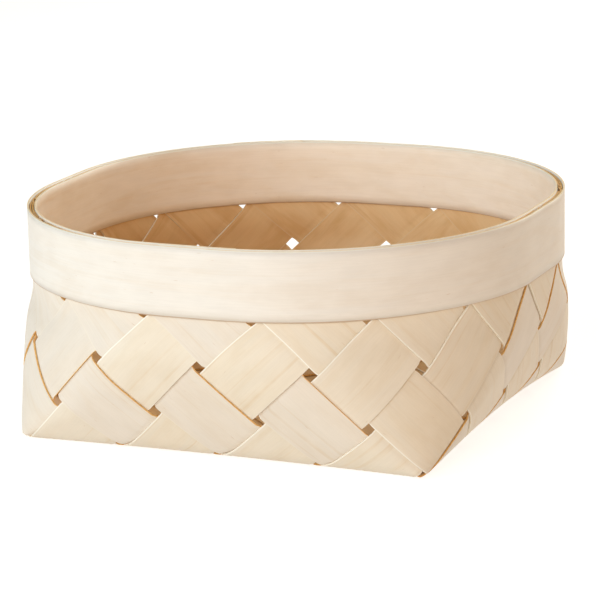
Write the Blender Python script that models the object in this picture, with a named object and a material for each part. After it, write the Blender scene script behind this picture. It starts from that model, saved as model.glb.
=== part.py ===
"""Bread basket plaited from flat birch veneer strips, with a glued veneer hoop inside and outside its rim.

Frame: +Z up, origin on the surface it stands on, under the middle of the base. X and Y run along the base's
sides. Metres. Every strip crosses the square base corner to corner wise, at 45 degrees to its sides, folds up
at the base's edge and climbs the wall at 45 degrees, over one strip and under the next, up to the rim.

The plaited mat is drawn flat first. Its two families of strips run along P (family a) and Q (family b):
    P = (x + y) / sqrt(2)    Q = (y - x) / sqrt(2)
and the base is the square |x|, |y| <= BASE_SIDE / 2. What lies beyond one of the base's sides is the wall.
Both families use the same points of the mat, so their facets stay parallel where they cross.
"""

import math

import bmesh
import bpy
from mathutils import Vector

# Driving dimensions
BASE_SIDE = 0.200
HEIGHT = 0.1045
STRIPS_EACH_WAY = 8
STRIP_WIDTH = 0.0306
VENEER = 0.0008
GLUE_GAP = 0.0003

# The rim in plan: a rectangle with very round corners, measured in the middle of the plaited wall
RIM_HALF_X = 0.12125
RIM_HALF_Y = 0.12590
RIM_CORNER_RADIUS = 0.111

# How the wall gets from the square base to the rim, by distance up the sheet
FLARE_END = 0.055
FLARE_POWER = 1.48
ROUNDING_END = 0.066
ROUNDING_POWER = 1.50
CLIMB_RATE = 1.03
CLIMB_LAG = 0.0029
CLIMB_LAG_LENGTH = 0.012

# The fold between base and wall is soft in the middle of the left and right sides, firmer in the middle of the
# front and back, and tight at the four corners
FOLD_FRONT = 0.008
FOLD_SIDE = 0.020
FOLD_CORNER = 0.003

# The plait isn't quite true: it turns a little as it climbs, bunches near two corners and sags on two walls
TURN = 0.0030
TURN_END = 0.050
SKEW = 0.0057
SKEW_PEAK_AT = 0.925 * BASE_SIDE
DROP = 0.0015
DROP_SWING = 0.0020
DROP_PEAK_AT = 0.45 * BASE_SIDE
SAG = 0.0008
SAG_SWING = 0.0013
SAG_END = 0.030
SAG_PEAK_AT = 1.5 * BASE_SIDE
SLIP_END = 0.080

# Rim hoops
BAND_WIDTH = 0.032
BAND_CLEARANCE = 0.0004
BAND_COLUMNS = 76
LAP_LENGTH = 0.035
LAP_RAMP = 0.018
OUTER_LAP_AT = 2.80 * BASE_SIDE
INNER_LAP_AT = 0.50 * BASE_SIDE
STRIP_TOP_BELOW_RIM = 0.0008

# Mesh
CELL_STEPS = 3
NORMAL_STEP = 0.0004

# Worked out from the above
PITCH = BASE_SIDE * math.sqrt(2) / STRIPS_EACH_WAY
HALF_COUNT = STRIPS_EACH_WAY // 2
HALF_BASE = BASE_SIDE / 2
WEAVE_OFFSET = (VENEER + GLUE_GAP) / 2
BASE_LEVEL = WEAVE_OFFSET + VENEER / 2
BAND_OFFSET = WEAVE_OFFSET + VENEER + BAND_CLEARANCE
ARM_CELLS = 4
FRONT, RIGHT, BACK, LEFT = range(4)

BIRCH = {
    "strip_a": (0.86, 0.76, 0.62),
    "strip_b": (0.84, 0.72, 0.56),
    "rim_band": (0.88, 0.80, 0.69),
}


def ease(distance, end, power):
    """Rises from 0 to 1 over the distance end, fast at first."""
    return 1 - (1 - min(max(distance / end, 0), 1)) ** power


def soft_ramp(distance, radius):
    """0 below -radius, the distance itself above radius, and a parabola that joins the two."""
    if distance <= -radius:
        return 0.0
    if distance >= radius:
        return distance
    return (distance + radius) ** 2 / (4 * radius)


def side_point(share, half_along, half_out, radius):
    """A point on one side of a rounded rectangle, from the middle of one corner to the middle of the next.

    The side lies along +X, with the outside towards -Y. share runs from 0 to 1 by length."""
    arc = radius * math.pi / 4
    flat = 2 * (half_along - radius)
    distance = share * (flat + 2 * arc)
    if distance <= arc:
        angle = math.radians(225) + (distance / radius if radius > 0 else 0)
        centre = -(half_along - radius)
    elif distance >= arc + flat:
        angle = math.radians(270) + ((distance - arc - flat) / radius if radius > 0 else 0)
        centre = half_along - radius
    else:
        return distance - arc - flat / 2, -half_out
    return centre + radius * math.cos(angle), -(half_out - radius) + radius * math.sin(angle)


def unevenness(along, up):
    """How far the plait has slipped round the wall and down it, against a perfectly even one."""

    def swing(peak):
        return math.cos(math.tau * (along - peak) / (2 * BASE_SIDE))

    climb = min(max(up, 0), SLIP_END) / SLIP_END
    slip_round = TURN * ease(up, TURN_END, 2) + SKEW * climb * swing(SKEW_PEAK_AT)
    slip_down = (DROP + DROP_SWING * swing(DROP_PEAK_AT)) * climb**4
    return slip_round, slip_down + (SAG + SAG_SWING * swing(SAG_PEAK_AT)) * ease(up, SAG_END, 2)


def sheet_point(along, up):
    """The middle of the plaited sheet. along runs round the base's outline from its front left corner,
    anticlockwise seen from above, and up is the distance beyond that outline: below 0 it is on the base."""
    slip_round, slip_down = unevenness(along, up)
    along, up = along + slip_round, up - slip_down
    side = math.floor(along / BASE_SIDE)
    share = along / BASE_SIDE - side
    middle = 1 - (2 * share - 1) ** 2
    fold_middle = FOLD_FRONT if side % 2 == 0 else FOLD_SIDE
    fold = FOLD_CORNER + (fold_middle - FOLD_CORNER) * middle
    climbed, inward = soft_ramp(up, fold), soft_ramp(-up, fold)
    flare = ease(climbed, FLARE_END, FLARE_POWER)
    half_x = HALF_BASE + (RIM_HALF_X - HALF_BASE) * flare - inward
    half_y = HALF_BASE + (RIM_HALF_Y - HALF_BASE) * flare - inward
    radius = RIM_CORNER_RADIUS * ease(climbed, ROUNDING_END, ROUNDING_POWER)
    height = CLIMB_RATE * climbed - CLIMB_LAG * (1 - math.exp(-climbed / CLIMB_LAG_LENGTH))
    halves = (half_x, half_y) if side % 2 == 0 else (half_y, half_x)
    x, y = side_point(share, *halves, radius)
    for _ in range(side % 4):
        x, y = -y, x
    return Vector((x, y, BASE_LEVEL + height))


def sheet_normal(along, up):
    """The sheet's outward normal, down on the base and sideways on the wall."""
    round_it = sheet_point(along + NORMAL_STEP, up) - sheet_point(along - NORMAL_STEP, up)
    up_it = sheet_point(along, up + NORMAL_STEP) - sheet_point(along, up - NORMAL_STEP)
    return round_it.cross(up_it).normalized()


def beyond(x, y, side):
    """How far a flat point lies beyond one side of the base, and how far along the outline it is."""
    return {
        FRONT: (-y - HALF_BASE, x + HALF_BASE),
        RIGHT: (x - HALF_BASE, BASE_SIDE + y + HALF_BASE),
        BACK: (y - HALF_BASE, 2 * BASE_SIDE + HALF_BASE - x),
        LEFT: (-x - HALF_BASE, 3 * BASE_SIDE + HALF_BASE - y),
    }[side]


def mat_point(p, q, sides):
    """Where a point of the flat mat goes, and the outward normal there. A strip leaves the base by two sides."""
    x, y = (p - q) / math.sqrt(2), (p + q) / math.sqrt(2)
    for side in sides:
        up, along = beyond(x, y, side)
        if up > 0:
            return sheet_point(along, up), sheet_normal(along, up)
    up, along = max(beyond(x, y, side) for side in range(4))
    if up < -FOLD_SIDE:
        return Vector((x, y, BASE_LEVEL)), Vector((0, 0, -1))
    nearest = math.floor(along / BASE_SIDE + 1e-9) % 4
    share = 0.5 + (along - (nearest + 0.5) * BASE_SIDE) / (BASE_SIDE + 2 * up)
    along = (nearest + share) * BASE_SIDE
    return sheet_point(along, up), sheet_normal(along, up)


def cell_lines(centre, steps=CELL_STEPS):
    """The mat lines across one crossing, from edge to edge of the strip that it crosses."""
    return [centre + STRIP_WIDTH * (i / steps - 0.5) for i in range(steps + 1)]


def add_quad(bm, corners, centre):
    """Two triangles, split along the diagonal that passes nearer the true middle of the quad."""
    a, b, c, d = corners
    first = ((a.co + c.co) / 2 - centre).length
    second = ((b.co + d.co) / 2 - centre).length
    if first <= second:
        bm.faces.new((a, b, c))
        bm.faces.new((a, c, d))
    else:
        bm.faces.new((a, b, d))
        bm.faces.new((b, c, d))


def new_part(name, bm, slot):
    """Makes the finished mesh an object with its own material."""
    mesh = bpy.data.meshes.new(name)
    bm.to_mesh(mesh)
    bm.free()
    part = bpy.data.objects.new(name, mesh)
    bpy.context.scene.collection.objects.link(part)
    material = bpy.data.materials.new(name)
    material.use_nodes = True
    shader = material.node_tree.nodes["Principled BSDF"]
    shader.inputs["Base Color"].default_value = (*BIRCH[slot], 1)
    shader.inputs["Roughness"].default_value = 0.62
    shader.inputs["Metallic"].default_value = 0.0
    mesh.materials.append(material)
    return part


def close_grid(bm, outside, inside, centres):
    """Skins two grids of vertices, an outer and an inner one, and closes the edges between them."""
    rows, columns = len(outside), len(outside[0])
    for i in range(rows - 1):
        for j in range(columns - 1):
            for grid, order in ((outside, 1), (inside, -1)):
                corners = [grid[i][j], grid[i + 1][j], grid[i + 1][j + 1], grid[i][j + 1]]
                offset = sum((v.co for v in corners), Vector()) / 4 - centres[i][j][1]
                add_quad(bm, corners[::order], centres[i][j][0] + offset)
    for i in range(rows - 1):
        for j in (0, columns - 1):
            corners = [outside[i][j], inside[i][j], inside[i + 1][j], outside[i + 1][j]]
            bm.faces.new(corners if j == 0 else corners[::-1])
    for j in range(columns - 1):
        for i in (0, rows - 1):
            corners = [outside[i][j], outside[i][j + 1], inside[i][j + 1], inside[i][j]]
            bm.faces.new(corners if i == 0 else corners[::-1])
    bmesh.ops.recalc_face_normals(bm, faces=bm.faces)
    bmesh.ops.triangulate(bm, faces=bm.faces)


def strip_sides(family, index):
    """The two sides of the base by which a strip leaves it, at its low and its high end."""
    if family == "a":
        return (FRONT, RIGHT) if index < 0 else (LEFT, BACK)
    return (FRONT, LEFT) if index < 0 else (RIGHT, BACK)


def strip(family, index):
    """One veneer strip, from rim to rim by way of the base. index runs from -4 to 3 across the mat."""
    across_centre = (index + 0.5) * PITCH
    across_lines = cell_lines(across_centre)
    edge_cell = HALF_COUNT - 0.5 - abs(index + 0.5)
    last = round(edge_cell) + ARM_CELLS
    cells = range(-last - 2, last + 2)
    along_lines = [(cell, line) for cell in cells for line in cell_lines((cell + 0.5) * PITCH)]
    sides = strip_sides(family, index)
    outside_parity = 0 if family == "a" else 1

    def place(along, across):
        p, q = (along, across) if family == "a" else (across, along)
        return mat_point(p, q, sides)

    bm = bmesh.new()
    outside, inside, points = [], [], []
    for cell, line in along_lines:
        over = 1 if (cell + index) % 2 == outside_parity else -1
        placed = [place(line, across) for across in across_lines]
        points.append([p for p, _ in placed])
        for grid, shift in ((outside, VENEER / 2), (inside, -VENEER / 2)):
            grid.append([bm.verts.new(p + n * (over * WEAVE_OFFSET + shift)) for p, n in placed])
    centres = []
    for i in range(len(along_lines) - 1):
        row = []
        for j in range(CELL_STEPS):
            middle = place(
                (along_lines[i][1] + along_lines[i + 1][1]) / 2, (across_lines[j] + across_lines[j + 1]) / 2
            )[0]
            mean = (points[i][j] + points[i + 1][j] + points[i + 1][j + 1] + points[i][j + 1]) / 4
            row.append((middle, mean))
        centres.append(row)
    close_grid(bm, outside, inside, centres)
    trim_top(bm, HEIGHT - STRIP_TOP_BELOW_RIM)
    return new_part(f"veneer_strip_{family}{index + HALF_COUNT + 1}", bm, f"strip_{family}")


def trim_top(bm, level):
    """Cuts both ends of a strip level, just under the rim."""
    geometry = list(bm.verts) + list(bm.edges) + list(bm.faces)
    bmesh.ops.bisect_plane(
        bm, geom=geometry, dist=1e-7, plane_co=(0, 0, level), plane_no=(0, 0, 1), clear_outer=True
    )
    bmesh.ops.holes_fill(bm, edges=[e for e in bm.edges if e.is_boundary])
    bmesh.ops.triangulate(bm, faces=bm.faces)
    bmesh.ops.recalc_face_normals(bm, faces=bm.faces)


def band(name, offset, lap_at):
    """A veneer hoop round the rim, closed by a lap: its last stretch steps over the first, away from the wall."""
    girth = 4 * BASE_SIDE
    total = girth + LAP_LENGTH
    wall_up = 2 * ROUNDING_END
    step = math.copysign(VENEER + GLUE_GAP, offset)
    low, high = HEIGHT - BAND_WIDTH, HEIGHT
    bm = bmesh.new()
    outside, inside, points = [], [], []
    count = BAND_COLUMNS + 4
    for i in range(count + 1):
        distance = total * i / count
        ramp = min(max((distance - (girth - LAP_RAMP)) / LAP_RAMP, 0), 1)
        centre = offset + step * ramp * ramp * (3 - 2 * ramp)
        along = lap_at - LAP_LENGTH / 2 + distance
        wall, normal = sheet_point(along, wall_up), sheet_normal(along, wall_up)
        points.append([wall, wall])
        for grid, shift in ((outside, VENEER / 2), (inside, -VENEER / 2)):
            skin = wall + normal * (centre + shift)
            grid.append([bm.verts.new((skin.x, skin.y, z)) for z in (low, high)])
    centres = [[(points[i][0], points[i][0])] for i in range(count)]
    close_grid(bm, outside, inside, centres)
    return new_part(name, bm, "rim_band")


def main():
    for old in list(bpy.data.objects):
        bpy.data.objects.remove(old)
    for family in "ab":
        for index in range(-HALF_COUNT, HALF_COUNT):
            strip(family, index)
    band("outer_rim_band", BAND_OFFSET, OUTER_LAP_AT)
    band("inner_rim_band", -BAND_OFFSET, INNER_LAP_AT)


main()
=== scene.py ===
"""Looks of the plaited birch veneer bread basket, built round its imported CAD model.

Every strip of the basket is made again here as a finely meshed thin sheet of veneer with cut edges and its own
grain, and both rim hoops as bent bands with tapered laps. Metres, in the CAD model's frame.

The plaited mat is drawn flat first. Its two families of strips run along P (family a) and Q (family b):
    P = (x + y) / sqrt(2)    Q = (y - x) / sqrt(2)
and the base is the square |x|, |y| <= BASE_SIDE / 2. What lies beyond one of the base's sides is the wall.
"""

import math

import bmesh
import bpy
from mathutils import Matrix, Vector


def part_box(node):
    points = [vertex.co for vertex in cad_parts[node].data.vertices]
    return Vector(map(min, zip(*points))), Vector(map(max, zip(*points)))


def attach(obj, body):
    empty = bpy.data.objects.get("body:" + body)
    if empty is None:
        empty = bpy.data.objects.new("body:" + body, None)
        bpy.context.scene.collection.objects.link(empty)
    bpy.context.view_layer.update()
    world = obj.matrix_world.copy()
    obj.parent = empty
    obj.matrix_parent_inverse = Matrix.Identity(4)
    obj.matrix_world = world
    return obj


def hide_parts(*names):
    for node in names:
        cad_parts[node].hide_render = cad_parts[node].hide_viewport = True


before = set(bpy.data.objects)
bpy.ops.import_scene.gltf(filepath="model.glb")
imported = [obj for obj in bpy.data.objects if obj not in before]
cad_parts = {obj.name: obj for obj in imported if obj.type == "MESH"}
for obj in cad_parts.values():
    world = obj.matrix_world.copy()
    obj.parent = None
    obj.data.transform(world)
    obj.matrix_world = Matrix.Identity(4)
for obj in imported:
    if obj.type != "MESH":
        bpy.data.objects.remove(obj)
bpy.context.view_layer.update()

# Sizes read off the CAD model
RIM_LOW, RIM_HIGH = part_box("outer_rim_band")
HEIGHT = RIM_HIGH.z
BAND_WIDTH = RIM_HIGH.z - RIM_LOW.z

# Sizes of the plait, as in the CAD model
BASE_SIDE = 0.200
STRIPS_EACH_WAY = 8
STRIP_WIDTH = 0.0306
VENEER = 0.0008
GLUE_GAP = 0.0003
BAND_CLEARANCE = 0.0004

PITCH = BASE_SIDE * math.sqrt(2) / STRIPS_EACH_WAY
HALF_COUNT = STRIPS_EACH_WAY // 2
HALF_BASE = BASE_SIDE / 2
WEAVE_OFFSET = (VENEER + GLUE_GAP) / 2
BASE_LEVEL = WEAVE_OFFSET + VENEER / 2
BAND_OFFSET = WEAVE_OFFSET + VENEER + BAND_CLEARANCE
FRONT, RIGHT, BACK, LEFT = range(4)

# The rim in plan, in the middle of the plaited wall
RIM_HALF_X = (RIM_HIGH.x - RIM_LOW.x) / 2 - BAND_OFFSET - VENEER / 2
RIM_HALF_Y = (RIM_HIGH.y - RIM_LOW.y) / 2 - BAND_OFFSET - VENEER / 2
RIM_CORNER_RADIUS = 0.111

# The wall's rise from the square base to the rim, by distance up the sheet
FLARE_END = 0.055
FLARE_POWER = 1.48
ROUNDING_END = 0.066
ROUNDING_POWER = 1.50
CLIMB_RATE = 1.03
CLIMB_LAG = 0.0029
CLIMB_LAG_LENGTH = 0.012

# The fold between base and wall is soft in the middle of the left and right sides, firmer in the middle of the
# front and back, and tight at the four corners
FOLD_FRONT = 0.008
FOLD_SIDE = 0.020
FOLD_CORNER = 0.003

# The plait isn't quite true: it turns a little as it climbs, bunches near two corners and sags on two walls
TURN = 0.0030
TURN_END = 0.050
SKEW = 0.0057
SKEW_PEAK_AT = 0.925 * BASE_SIDE
DROP = 0.0015
DROP_SWING = 0.0020
DROP_PEAK_AT = 0.45 * BASE_SIDE
SAG = 0.0008
SAG_SWING = 0.0013
SAG_END = 0.030
SAG_PEAK_AT = 1.5 * BASE_SIDE
SLIP_END = 0.080

# Rim hoops
LAP_LENGTH = 0.035
LAP_RAMP = 0.018
OUTER_LAP_AT = 2.80 * BASE_SIDE
INNER_LAP_AT = 0.50 * BASE_SIDE
STRIP_TOP_BELOW_RIM = 0.0008

# How sharply a strip steps from under its neighbour to over it, and how close to the neighbour's edge
SNAP = 13.0
RISE_EARLY = 0.11

# How much of a strip's shading follows the smooth sheet instead of its own small steps
SHEET_SHADING = 0.75

# Mesh fineness, and how many cells a strip has beyond the base: those up the wall and a few to be cut off
CROSSING_STEPS = 12
GAP_STEPS = 8
ACROSS_STEPS = 10
ARM_CELLS = 4
SPARE_CELLS = 2
BAND_STEP = 0.003
BAND_ROWS = 8
NORMAL_STEP = 0.0004
CUT_TOLERANCE = 1e-7
SIDE_TOLERANCE = 1e-9

# Hand-cut unevenness of the strips and of the bands' lower edges
WIDTH_WANDER = 0.00025
PATH_WANDER = 0.00035
BAND_EDGE_WANDER = 0.0002


# ---------------------------------------------------------------- the shape of the plaited sheet


def ease(distance, end, power):
    """Rises from 0 to 1 over the distance end, fast at first."""
    return 1 - (1 - min(max(distance / end, 0), 1)) ** power


def smooth(value, low, high):
    """0 below low, 1 above high, and an S curve between them."""
    share = min(max((value - low) / (high - low), 0), 1)
    return share * share * (3 - 2 * share)


def soft_ramp(distance, radius):
    """0 below -radius, the distance itself above radius, and a parabola that joins the two."""
    if distance <= -radius:
        return 0.0
    if distance >= radius:
        return distance
    return (distance + radius) ** 2 / (4 * radius)


def side_point(share, half_along, half_out, radius):
    """A point on one side of a rounded rectangle, from the middle of one corner to the middle of the next.

    The side lies along +X, with the outside towards -Y. share runs from 0 to 1 by length."""
    arc = radius * math.pi / 4
    flat = 2 * (half_along - radius)
    distance = share * (flat + 2 * arc)
    if distance <= arc:
        angle = math.radians(225) + (distance / radius if radius > 0 else 0)
        centre = -(half_along - radius)
    elif distance >= arc + flat:
        angle = math.radians(270) + ((distance - arc - flat) / radius if radius > 0 else 0)
        centre = half_along - radius
    else:
        return distance - arc - flat / 2, -half_out
    return centre + radius * math.cos(angle), -(half_out - radius) + radius * math.sin(angle)


def unevenness(along, up):
    """How far the plait has slipped round the wall and down it, against a perfectly even one."""

    def swing(peak):
        return math.cos(math.tau * (along - peak) / (2 * BASE_SIDE))

    climb = min(max(up, 0), SLIP_END) / SLIP_END
    slip_round = TURN * ease(up, TURN_END, 2) + SKEW * climb * swing(SKEW_PEAK_AT)
    slip_down = (DROP + DROP_SWING * swing(DROP_PEAK_AT)) * climb**4
    return slip_round, slip_down + (SAG + SAG_SWING * swing(SAG_PEAK_AT)) * ease(up, SAG_END, 2)


def sheet_point(along, up):
    """The middle of the plaited sheet. along runs round the base's outline from its front left corner,
    anticlockwise seen from above, and up is the distance beyond that outline: below 0 it is on the base."""
    slip_round, slip_down = unevenness(along, up)
    along, up = along + slip_round, up - slip_down
    side = math.floor(along / BASE_SIDE)
    share = along / BASE_SIDE - side
    middle = 1 - (2 * share - 1) ** 2
    fold_middle = FOLD_FRONT if side % 2 == 0 else FOLD_SIDE
    fold = FOLD_CORNER + (fold_middle - FOLD_CORNER) * middle
    climbed, inward = soft_ramp(up, fold), soft_ramp(-up, fold)
    flare = ease(climbed, FLARE_END, FLARE_POWER)
    half_x = HALF_BASE + (RIM_HALF_X - HALF_BASE) * flare - inward
    half_y = HALF_BASE + (RIM_HALF_Y - HALF_BASE) * flare - inward
    radius = RIM_CORNER_RADIUS * ease(climbed, ROUNDING_END, ROUNDING_POWER)
    height = CLIMB_RATE * climbed - CLIMB_LAG * (1 - math.exp(-climbed / CLIMB_LAG_LENGTH))
    halves = (half_x, half_y) if side % 2 == 0 else (half_y, half_x)
    x, y = side_point(share, *halves, radius)
    for _ in range(side % 4):
        x, y = -y, x
    return Vector((x, y, BASE_LEVEL + height))


def sheet_normal(along, up):
    """The sheet's outward normal, down on the base and sideways on the wall."""
    round_it = sheet_point(along + NORMAL_STEP, up) - sheet_point(along - NORMAL_STEP, up)
    up_it = sheet_point(along, up + NORMAL_STEP) - sheet_point(along, up - NORMAL_STEP)
    return round_it.cross(up_it).normalized()


def beyond(x, y, side):
    """How far a flat point lies beyond one side of the base, and how far along the outline it is."""
    return {
        FRONT: (-y - HALF_BASE, x + HALF_BASE),
        RIGHT: (x - HALF_BASE, BASE_SIDE + y + HALF_BASE),
        BACK: (y - HALF_BASE, 2 * BASE_SIDE + HALF_BASE - x),
        LEFT: (-x - HALF_BASE, 3 * BASE_SIDE + HALF_BASE - y),
    }[side]


def mat_point(p, q, sides):
    """Where a point of the flat mat goes, and the outward normal there. sides are those by which its strip
    leaves the base."""
    x, y = (p - q) / math.sqrt(2), (p + q) / math.sqrt(2)
    for side in sides:
        up, along = beyond(x, y, side)
        if up > 0:
            return sheet_point(along, up), sheet_normal(along, up)
    up, along = max(beyond(x, y, side) for side in range(4))
    if up < -FOLD_SIDE:
        return Vector((x, y, BASE_LEVEL)), Vector((0, 0, -1))
    nearest = math.floor(along / BASE_SIDE + SIDE_TOLERANCE) % 4
    share = 0.5 + (along - (nearest + 0.5) * BASE_SIDE) / (BASE_SIDE + 2 * up)
    along = (nearest + share) * BASE_SIDE
    return sheet_point(along, up), sheet_normal(along, up)


# ---------------------------------------------------------------- meshes


def weave_height(along, index, over_parity):
    """How far a strip stands out from the sheet: flat over one crossing and in under the next.

    It comes up right beside the edge of the strip that covers it."""
    sign = 1 if index % 2 == over_parity else -1
    turn = sign * math.cos(math.pi * (along / PITCH - 0.5))
    return WEAVE_OFFSET * math.tanh(SNAP * (turn + RISE_EARLY))


def wander(distance, seed, size):
    """A slow sideways drift along a strip, different for each seed."""
    return size * (0.6 * math.sin(distance * 31 + seed * 2.4) + 0.4 * math.sin(distance * 67 + seed * 5.1))


def skin_grid(bm, uv_layer, grid_out, grid_in, uvs, near_edge=1, far_edge=1, inner_face=0):
    """Closes two grids of vertices into one thin sheet. Material 0 is its outer face, inner_face its inner one,
    and 1 its ends. Its two long edges take the materials near_edge and far_edge."""
    rows, columns = len(grid_out), len(grid_out[0])

    def face(corners, places, material):
        made = bm.faces.new(corners)
        made.material_index = material
        made.smooth = material in (0, inner_face)
        for loop, (i, j) in zip(made.loops, places):
            loop[uv_layer].uv = uvs[i][j]

    for i in range(rows - 1):
        for j in range(columns - 1):
            places = [(i, j), (i, j + 1), (i + 1, j + 1), (i + 1, j)]
            face([grid_out[a][b] for a, b in places], places, 0)
            places = places[::-1]
            face([grid_in[a][b] for a, b in places], places, inner_face)
    for i in range(rows - 1):
        for j, order, material in ((0, 1, near_edge), (columns - 1, -1, far_edge)):
            places = [(i, j), (i + 1, j)][::order]
            (a, b), (c, d) = places
            corners = [grid_out[a][b], grid_out[c][d], grid_in[c][d], grid_in[a][b]]
            face(corners, [*places, *places[::-1]], material)
    for j in range(columns - 1):
        for i, order in ((0, -1), (rows - 1, 1)):
            places = [(i, j), (i, j + 1)][::order]
            (a, b), (c, d) = places
            corners = [grid_out[a][b], grid_out[c][d], grid_in[c][d], grid_in[a][b]]
            face(corners, [*places, *places[::-1]], 1)


def finish_piece(name, bm, node, materials):
    """Makes the mesh an object that stands for a CAD node."""
    mesh = bpy.data.meshes.new(name)
    bmesh.ops.recalc_face_normals(bm, faces=bm.faces)
    bm.to_mesh(mesh)
    bm.free()
    piece = bpy.data.objects.new(name, mesh)
    bpy.context.scene.collection.objects.link(piece)
    for material in materials:
        mesh.materials.append(material)
    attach(piece, "root")
    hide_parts(node)
    return piece


def shade_like_sheet(mesh, layer_name):
    """Turns the faces' shading normals towards the sheet's, so that a strip's small steps stay faint."""
    sheet = mesh.attributes[layer_name].data
    own = mesh.corner_normals
    normals = [Vector((0, 0, 0)) for _ in own]
    for face in mesh.polygons:
        if not face.use_smooth:
            continue
        for corner in face.loop_indices:
            outward = Vector(sheet[mesh.loops[corner].vertex_index].vector)
            if outward.dot(face.normal) < 0:
                outward.negate()
            normals[corner] = Vector(own[corner].vector).lerp(outward, SHEET_SHADING).normalized()
    mesh.normals_split_custom_set(normals)
    mesh.attributes.remove(mesh.attributes[layer_name])


def strip_sides(family, index):
    """The two sides of the base by which a strip leaves it, at its low and its high end."""
    if family == "a":
        return (FRONT, RIGHT) if index < 0 else (LEFT, BACK)
    return (FRONT, LEFT) if index < 0 else (RIGHT, BACK)


def along_lines(cells):
    """Mesh lines across a strip: close together over each crossing, and in each gap between crossings."""
    lines = []
    gap = PITCH - STRIP_WIDTH
    for cell in range(-cells, cells):
        start = cell * PITCH + gap / 2
        lines += [start + STRIP_WIDTH * i / CROSSING_STEPS for i in range(CROSSING_STEPS)]
        lines += [start + STRIP_WIDTH + gap * i / GAP_STEPS for i in range(GAP_STEPS)]
    return lines


def make_strip(family, index, materials):
    """One veneer strip, from rim to rim by way of the base. index runs from -4 to 3 across the mat."""
    centre = (index + 0.5) * PITCH
    seed = index * 3.7 + (11 if family == "b" else 0)
    sides = strip_sides(family, index)
    cells = round(HALF_COUNT - abs(index + 0.5)) + ARM_CELLS + SPARE_CELLS
    bm = bmesh.new()
    uv_layer = bm.loops.layers.uv.new("Grain")
    sheet_layer = bm.verts.layers.float_vector.new("sheet")
    grid_out, grid_in, uvs = [], [], []
    for line in along_lines(cells):
        width = STRIP_WIDTH + wander(line, seed, WIDTH_WANDER)
        middle = centre + wander(line, seed + 1.3, PATH_WANDER)
        row_out, row_in, row_uv = [], [], []
        for j in range(ACROSS_STEPS + 1):
            across = width * (j / ACROSS_STEPS - 0.5)
            p, q = (line, middle + across) if family == "a" else (middle + across, line)
            point, normal = mat_point(p, q, sides)
            height = weave_height(line, index, 0 if family == "a" else 1)
            for row, shift in ((row_out, VENEER / 2), (row_in, -VENEER / 2)):
                row.append(bm.verts.new(point + normal * (height + shift)))
                row[-1][sheet_layer] = normal
            row_uv.append((line, STRIP_WIDTH * (j / ACROSS_STEPS - 0.5)))
        grid_out.append(row_out)
        grid_in.append(row_in)
        uvs.append(row_uv)
    # Each long edge's cut edge follows how it faces the key light: amber with painted shade on family a's low
    # edge, the pale painted highlight on family a's high edge and family b's low edge, and tan painted shade on
    # family b's high edge.
    near_edge, far_edge = (1, 2) if family == "a" else (2, 4)
    skin_grid(bm, uv_layer, grid_out, grid_in, uvs, near_edge, far_edge, inner_face=3)
    trim_top(bm, HEIGHT - STRIP_TOP_BELOW_RIM)
    number = index + HALF_COUNT + 1
    label = f"{family}{number}"
    piece = finish_piece(f"birch_strip_{label}", bm, f"veneer_strip_{label}", materials)
    shade_like_sheet(piece.data, "sheet")


def trim_top(bm, level):
    """Cuts both ends of a strip level, just under the rim."""
    geometry = list(bm.verts) + list(bm.edges) + list(bm.faces)
    bmesh.ops.bisect_plane(
        bm,
        geom=geometry,
        dist=CUT_TOLERANCE,
        plane_co=(0, 0, level),
        plane_no=(0, 0, 1),
        clear_outer=True,
    )
    filled = bmesh.ops.holes_fill(bm, edges=[e for e in bm.edges if e.is_boundary])
    for face in filled["faces"]:
        face.material_index = 1
        face.smooth = False


def make_band(name, node, offset, lap_at, materials, seed):
    """A veneer hoop round the rim. Its last stretch laps over the first, away from the wall."""
    girth = 4 * BASE_SIDE
    total = girth + LAP_LENGTH
    wall_up = 2 * ROUNDING_END
    step = math.copysign(VENEER + GLUE_GAP, offset)
    count = round(total / BAND_STEP)
    bm = bmesh.new()
    uv_layer = bm.loops.layers.uv.new("Grain")
    grid_out, grid_in, uvs = [], [], []
    for i in range(count + 1):
        distance = total * i / count
        centre = offset + step * smooth(distance, girth - LAP_RAMP, girth)
        along = lap_at - LAP_LENGTH / 2 + distance
        wall, normal = sheet_point(along, wall_up), sheet_normal(along, wall_up)
        out, inner = wall + normal * (centre + VENEER / 2), wall + normal * (centre - VENEER / 2)
        row_out, row_in, row_uv = [], [], []
        low = HEIGHT - BAND_WIDTH + wander(along, seed, BAND_EDGE_WANDER)
        for j in range(BAND_ROWS + 1):
            z = low + (HEIGHT - low) * j / BAND_ROWS
            row_out.append(bm.verts.new((out.x, out.y, z)))
            row_in.append(bm.verts.new((inner.x, inner.y, z)))
            row_uv.append((distance, z - HEIGHT + BAND_WIDTH / 2))
        grid_out.append(row_out)
        grid_in.append(row_in)
        uvs.append(row_uv)
    skin_grid(bm, uv_layer, grid_out, grid_in, uvs)
    return finish_piece(name, bm, node, materials)


# ---------------------------------------------------------------- materials

# Waves to a metre in each layer of the veneer's figure, along and across the grain
FIBRE_WAVES = (55, 1500)
FIGURE_WAVES = (12, 70)
CLOUD_WAVES = (60, 130)
STREAK_WAVES = (4.0, 330)
FLECK_WAVES = (170, 900)

# Each veneer's paler and warmer tone
STRIP_TONES = {
    "a": ((0.84, 0.765, 0.675), (0.83, 0.73, 0.61)),
    "b": ((0.86, 0.775, 0.65), (0.85, 0.735, 0.575)),
}
# The strips' inner faces take a darker, browner birch than their outer faces: painted shade, so that the holes
# and the basket's hollow read dark.
INSIDE_PAINTED_SHADE_TONES = (0.80, 0.56, 0.31), (0.72, 0.46, 0.22)
OUTER_BAND_TONES = (0.895, 0.845, 0.78), (0.885, 0.815, 0.73)
# The inner band takes a warmer, lighter tone than the outer band: painted warm bounced light.
INNER_BAND_WARM_BOUNCE_TONES = (0.95, 0.84, 0.72), (0.92, 0.79, 0.64)
FLECK_COLOUR = (0.55, 0.35, 0.18)
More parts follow.
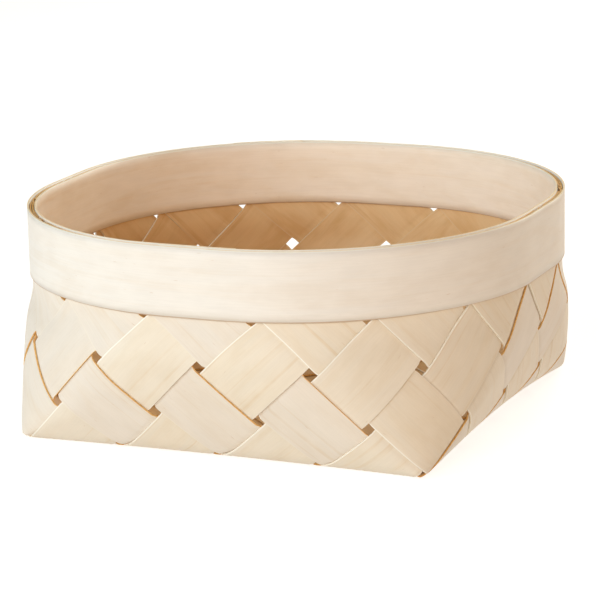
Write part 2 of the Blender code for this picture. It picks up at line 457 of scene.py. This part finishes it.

# Each kind of cut edge's lighter and darker tone. The amber edge is the veneer's own darker cut edge plus
# painted shade, for long edges that face away from the key light; the pale edge is a painted highlight, for
# long edges that face it; the tan edge is a milder painted shade.
AMBER_EDGE_PAINTED_SHADE = (0.86, 0.54, 0.20), (0.72, 0.38, 0.11)
TAN_EDGE_PAINTED_SHADE = (0.74, 0.58, 0.38), (0.62, 0.44, 0.26)
PALE_EDGE_PAINTED_HIGHLIGHT = (0.98, 0.93, 0.82), (0.94, 0.84, 0.68)
RIM_EDGE = (0.97, 0.83, 0.60), (0.94, 0.73, 0.45)

# The narrow line of another tone along a piece's long edge: its colour and how wide it is. The pale line is a
# painted highlight along edges that face the light and along the bands' top, the amber line is painted shade
# beside the amber cut edge, and the bands' low line is a painted shadow where each band meets the strips.
PAINTED_HIGHLIGHT_RIM = (1.0, 0.96, 0.87), 0.0007
PLAIN_RIM = (0.88, 0.80, 0.68), 0.0005
AMBER_PAINTED_SHADE_RIM = (0.84, 0.60, 0.33), 0.0004
BAND_LOW_PAINTED_SHADOW = (0.72, 0.54, 0.40), 0.0005
INSIDE_PAINTED_SHADE_RIM = (0.78, 0.58, 0.36), 0.0005


class Nodes:
    """Short calls for building the node tree of a material or of the world."""

    def __init__(self, owner):
        owner.use_nodes = True
        self.owner = owner
        self.tree = owner.node_tree

    def add(self, kind, settings=None, **inputs):
        node = self.tree.nodes.new(kind)
        for key, value in (settings or {}).items():
            setattr(node, key, value)
        for key, value in inputs.items():
            self.put(node.inputs[key.replace("_", " ")], value)
        return node

    def put(self, socket, value):
        if isinstance(value, bpy.types.NodeSocket):
            self.tree.links.new(value, socket)
        else:
            socket.default_value = value

    def stretched_noise(self, source, waves, shift, detail=3.0, distortion=0.0):
        """Noise stretched along the grain. waves is how many there are to a metre, along and across."""
        mapping = self.add("ShaderNodeMapping", Vector=source, Location=(*shift, 0.0), Scale=(*waves, 1.0))
        noise = self.add(
            "ShaderNodeTexNoise",
            {"noise_dimensions": "2D"},
            Vector=mapping.outputs[0],
            Scale=1.0,
            Detail=detail,
            Roughness=0.55,
            Distortion=distortion,
        )
        return noise.outputs["Fac"]

    def ramp(self, value, low, high, to_low=0.0, to_high=1.0, curve="SMOOTHSTEP"):
        """value's range from low to high, turned into the range from to_low to to_high."""
        node = self.add("ShaderNodeMapRange", {"interpolation_type": curve}, Value=value)
        for socket, number in zip(node.inputs[1:5], (low, high, to_low, to_high)):
            socket.default_value = number
        return node.outputs[0]

    def blend(self, share, first, second):
        """The colour that lies the given share of the way from the first colour to the second."""
        node = self.add("ShaderNodeMix", {"data_type": "RGBA"})
        for socket, value in zip((node.inputs[0], node.inputs[6], node.inputs[7]), (share, first, second)):
            self.put(socket, (*value, 1.0) if isinstance(value, tuple) else value)
        return node.outputs[2]

    def maths(self, operation, first, second):
        node = self.add("ShaderNodeMath", {"operation": operation})
        self.put(node.inputs[0], first)
        self.put(node.inputs[1], second)
        return node.outputs[0]


def new_material(name):
    """A new material's node builder and its Principled BSDF."""
    n = Nodes(bpy.data.materials.new(name))
    return n, n.tree.nodes["Principled BSDF"]


def veneer_material(name, pale, warm, seed, half_width, rims, streaks=0.5):
    """Planed birch: fine fibres along the piece, a slow figure, faint warm streaks and a few brown flecks.

    rims holds the lines along the piece's two long edges, the low one first; most of them are painted
    highlight, painted shade or painted shadow."""
    n, shader = new_material(name)
    shift = (seed * 3.17, seed * 1.73)
    grain = n.add("ShaderNodeUVMap", {"uv_map": "Grain"}).outputs[0]
    fibre = n.stretched_noise(grain, FIBRE_WAVES, shift, detail=4)
    figure = n.stretched_noise(grain, FIGURE_WAVES, shift, detail=3, distortion=1.2)
    cloud = n.stretched_noise(grain, CLOUD_WAVES, shift, detail=3)
    streak = n.stretched_noise(grain, STREAK_WAVES, shift, detail=2)
    fleck = n.stretched_noise(grain, FLECK_WAVES, shift, detail=1)

    streak_colour = tuple(part * share for part, share in zip(warm, (0.90, 0.82, 0.70)))
    cloud_colour = tuple(min(part * 1.06, 1) for part in pale)
    fibre_colour = tuple(part * 0.72 for part in warm)
    colour = n.blend(n.ramp(figure, 0.35, 0.68), pale, warm)
    colour = n.blend(n.ramp(streak, 0.60, 0.74, 0.0, streaks), colour, streak_colour)
    colour = n.blend(n.ramp(cloud, 0.3, 0.7, 0.0, 0.5), colour, cloud_colour)
    colour = n.blend(n.ramp(fibre, 0.38, 0.62, 0.07, 0.0), colour, fibre_colour)
    colour = n.blend(n.ramp(fleck, 0.80, 0.88, 0.0, 0.3), colour, FLECK_COLOUR)
    across = n.add("ShaderNodeSeparateXYZ", Vector=grain).outputs[1]
    # Narrow lines along the two long edges, most of them painted highlight, painted shade or painted shadow.
    for side, (rim_colour, width) in zip((-1, 1), rims):
        near = n.ramp(n.maths("MULTIPLY", across, side), half_width - width, half_width - 0.4 * width)
        colour = n.blend(near, colour, rim_colour)
    n.put(shader.inputs["Base Color"], colour)

    n.put(shader.inputs["Roughness"], n.ramp(fibre, 0.3, 0.7, 0.40, 0.56))
    shader.inputs["Specular IOR Level"].default_value = 0.45
    relief = n.maths("ADD", n.maths("MULTIPLY", fibre, 0.5), n.maths("MULTIPLY", figure, 2.0))
    bump = n.add("ShaderNodeBump", Strength=0.5, Distance=0.00012, Height=relief)
    n.put(shader.inputs["Normal"], bump.outputs[0])
    return n.owner


def edge_material(name, light, dark):
    """The sliced edge of veneer, with short dark pores."""
    n, shader = new_material(name)
    place = n.add("ShaderNodeTexCoord").outputs["Object"]
    pores = n.add("ShaderNodeTexNoise", Vector=place, Scale=700.0, Detail=3.0, Roughness=0.6).outputs["Fac"]
    slow = n.add("ShaderNodeTexNoise", Vector=place, Scale=60.0, Detail=2.0, Roughness=0.5).outputs["Fac"]
    share = n.maths("MULTIPLY", n.ramp(pores, 0.35, 0.65), n.ramp(slow, 0.3, 0.6, 0.5, 1.0))
    n.put(shader.inputs["Base Color"], n.blend(share, light, dark))
    n.put(shader.inputs["Roughness"], n.ramp(pores, 0.3, 0.7, 0.6, 0.8))
    bump = n.add("ShaderNodeBump", Strength=0.6, Distance=0.0001, Height=pores)
    n.put(shader.inputs["Normal"], bump.outputs[0])
    return n.owner


def mixed(first, second, share):
    """The colour that lies the given share of the way from the first to the second."""
    return tuple(a + (b - a) * share for a, b in zip(first, second))


def strip_face_material(family, index):
    """A strip's outer face. Each strip has its own tone and its own strength of streaks."""
    pale, warm = STRIP_TONES[family]
    seed = index + HALF_COUNT + (10 if family == "b" else 0)
    tone = 0.5 + 0.5 * math.sin(seed * 2.39)
    return veneer_material(
        f"birch_{family}{index + HALF_COUNT + 1}",
        mixed(pale, warm, 0.25 * tone),
        mixed(warm, pale, 0.35 * (1 - tone)),
        seed,
        STRIP_WIDTH / 2,
        # Family a's low edge gets a line of painted shade, family b's a painted highlight.
        (AMBER_PAINTED_SHADE_RIM if family == "a" else PAINTED_HIGHLIGHT_RIM, PLAIN_RIM),
        streaks=0.25 + 0.45 * (0.5 + 0.5 * math.sin(seed * 4.1)),
    )


def build_basket():
    amber_edge_shaded = edge_material("amber_cut_edge_painted_shade", *AMBER_EDGE_PAINTED_SHADE)
    tan_edge_shaded = edge_material("tan_cut_edge_painted_shade", *TAN_EDGE_PAINTED_SHADE)
    pale_edge_lit = edge_material("cut_edge_painted_highlight", *PALE_EDGE_PAINTED_HIGHLIGHT)
    rim_edge = edge_material("rim_edge", *RIM_EDGE)
    # Inner faces in the darker, browner tones, with lines of the same: painted shade.
    inner_face_painted_shade_rims = (INSIDE_PAINTED_SHADE_RIM, INSIDE_PAINTED_SHADE_RIM)
    shaded_inner_faces = [
        veneer_material(f"birch_inner_face_painted_shade_{number}", *INSIDE_PAINTED_SHADE_TONES, 50 + number, STRIP_WIDTH / 2, inner_face_painted_shade_rims)
        for number in (1, 2)
    ]
    for family in ("a", "b"):
        for index in range(-HALF_COUNT, HALF_COUNT):
            face = strip_face_material(family, index)
            make_strip(family, index, [face, amber_edge_shaded, pale_edge_lit, shaded_inner_faces[index % 2], tan_edge_shaded])

    # A painted shadow along each band's lower edge and a painted highlight along its top.
    band_painted_shadow_and_highlight = (BAND_LOW_PAINTED_SHADOW, PAINTED_HIGHLIGHT_RIM)
    half_band = BAND_WIDTH / 2
    outer = veneer_material("birch_outer_band", *OUTER_BAND_TONES, 31, half_band, band_painted_shadow_and_highlight, streaks=0.15)
    inner = veneer_material("birch_inner_band_warm_bounce", *INNER_BAND_WARM_BOUNCE_TONES, 37, half_band, band_painted_shadow_and_highlight, streaks=0.25)
    make_band("bent_outer_band", "outer_rim_band", BAND_OFFSET, OUTER_LAP_AT, [outer, rim_edge], 3)
    make_band("bent_inner_band", "inner_rim_band", -BAND_OFFSET, INNER_LAP_AT, [inner, rim_edge], 8)


# ---------------------------------------------------------------- floor, light and camera

CAMERA_AZIMUTH = math.radians(23.2)
CAMERA_HEIGHT_ANGLE = math.radians(13.83)
CAMERA_DISTANCE = 6.97 * BASE_SIDE
CAMERA_LENS = 173.0
CAMERA_ROLL = 0.0218
SENSOR_WIDTH = 36
AIM = Vector((0, 0, 0.486 * HEIGHT))

FLOOR_RADIUS = 8.0
FLOOR_TONES = (0.60, 0.60, 0.60), (0.63, 0.63, 0.63)
FLOOR_GLOW = 0.66

# The studio's walls as the camera sees them, and as they light the basket: brighter from below than from above
BACKDROP_STRENGTH = 1.05
AMBIENT_COLOUR = (1.0, 0.89, 0.74, 1)
AMBIENT_BELOW = 0.78
AMBIENT_ABOVE = 0.27
BELOW_ENDS_AT = -0.3
ABOVE_STARTS_AT = 0.1

# Each softbox's name, azimuth and elevation in degrees, distance and size in metres, power in watts, and colour
SOFTBOXES = (
    ("key", -48, 20, 1.7, 1.1, 11.0, (0.76, 0.92, 1.0)),
    ("front", 0, 19, 1.7, 1.0, 12, (0.98, 0.97, 0.96)),
    ("right_fill", 76, 14, 1.8, 1.2, 4.5, (1.0, 0.54, 0.24)),
    ("back_fill", 165, 32, 1.8, 1.2, 18, (1.0, 0.96, 0.84)),
)


def direction(azimuth, elevation):
    """The unit vector towards azimuth (0 is -Y, 90 degrees is +X) and elevation, both in radians."""
    level = math.cos(elevation)
    return Vector((math.sin(azimuth) * level, -math.cos(azimuth) * level, math.sin(elevation)))


def point_at(thing, place, target):
    thing.location = place
    thing.rotation_mode = "QUATERNION"
    thing.rotation_quaternion = (target - place).to_track_quat("-Z", "Y")


def build_camera():
    data = bpy.data.cameras.new("camera")
    data.sensor_width = SENSOR_WIDTH
    data.lens = CAMERA_LENS
    camera = bpy.data.objects.new("camera", data)
    bpy.context.scene.collection.objects.link(camera)
    point_at(camera, AIM + direction(CAMERA_AZIMUTH, CAMERA_HEIGHT_ANGLE) * CAMERA_DISTANCE, AIM)
    roll = Matrix.Rotation(-CAMERA_ROLL, 3, "Z").to_quaternion()
    camera.rotation_quaternion = camera.rotation_quaternion @ roll
    bpy.context.scene.camera = camera


def build_floor():
    """A plain pale floor that fades into the backdrop and throws no colour back onto the basket."""
    n, shader = new_material("pale_floor")
    place = n.add("ShaderNodeTexCoord").outputs["Object"]
    noise = n.add("ShaderNodeTexNoise", Vector=place, Scale=30.0, Detail=2.0).outputs["Fac"]
    n.put(shader.inputs["Base Color"], n.blend(noise, *FLOOR_TONES))
    shader.inputs["Roughness"].default_value = 0.9
    shader.inputs["Specular IOR Level"].default_value = 0.1
    shader.inputs["Emission Color"].default_value = (1, 1, 1, 1)
    shader.inputs["Emission Strength"].default_value = FLOOR_GLOW
    bm = bmesh.new()
    bmesh.ops.create_circle(bm, cap_ends=True, segments=96, radius=FLOOR_RADIUS)
    mesh = bpy.data.meshes.new("floor")
    bm.to_mesh(mesh)
    bm.free()
    mesh.materials.append(n.owner)
    floor = bpy.data.objects.new("floor", mesh)
    bpy.context.scene.collection.objects.link(floor)
    floor.visible_diffuse = False


def build_world():
    """The soft light from all round. The camera sees it as a plain pale backdrop."""
    world = bpy.data.worlds.new("studio")
    bpy.context.scene.world = world
    n = Nodes(world)
    ambient = n.tree.nodes["Background"]
    place = n.add("ShaderNodeTexCoord").outputs["Generated"]
    height = n.add("ShaderNodeSeparateXYZ", Vector=place).outputs[2]
    strength = n.ramp(height, BELOW_ENDS_AT, ABOVE_STARTS_AT, AMBIENT_BELOW, AMBIENT_ABOVE, curve="LINEAR")
    n.put(ambient.inputs["Strength"], strength)
    n.put(ambient.inputs["Color"], AMBIENT_COLOUR)
    backdrop = n.add("ShaderNodeBackground", Strength=BACKDROP_STRENGTH)
    mix = n.add("ShaderNodeMixShader", Fac=n.add("ShaderNodeLightPath").outputs["Is Camera Ray"])
    n.put(mix.inputs[1], ambient.outputs[0])
    n.put(mix.inputs[2], backdrop.outputs[0])
    n.put(n.tree.nodes["World Output"].inputs["Surface"], mix.outputs[0])


def build_softbox(name, azimuth, elevation, distance, size, power, colour):
    data = bpy.data.lights.new(name, "AREA")
    data.shape = "DISK"
    data.size = size
    data.energy = power
    data.color = colour
    light = bpy.data.objects.new(name, data)
    bpy.context.scene.collection.objects.link(light)
    point_at(light, AIM + direction(math.radians(azimuth), math.radians(elevation)) * distance, AIM)


def build_stage():
    build_floor()
    build_world()
    for softbox in SOFTBOXES:
        build_softbox(*softbox)
    bpy.context.scene.view_settings.view_transform = "Standard"


build_basket()
build_camera()
build_stage()
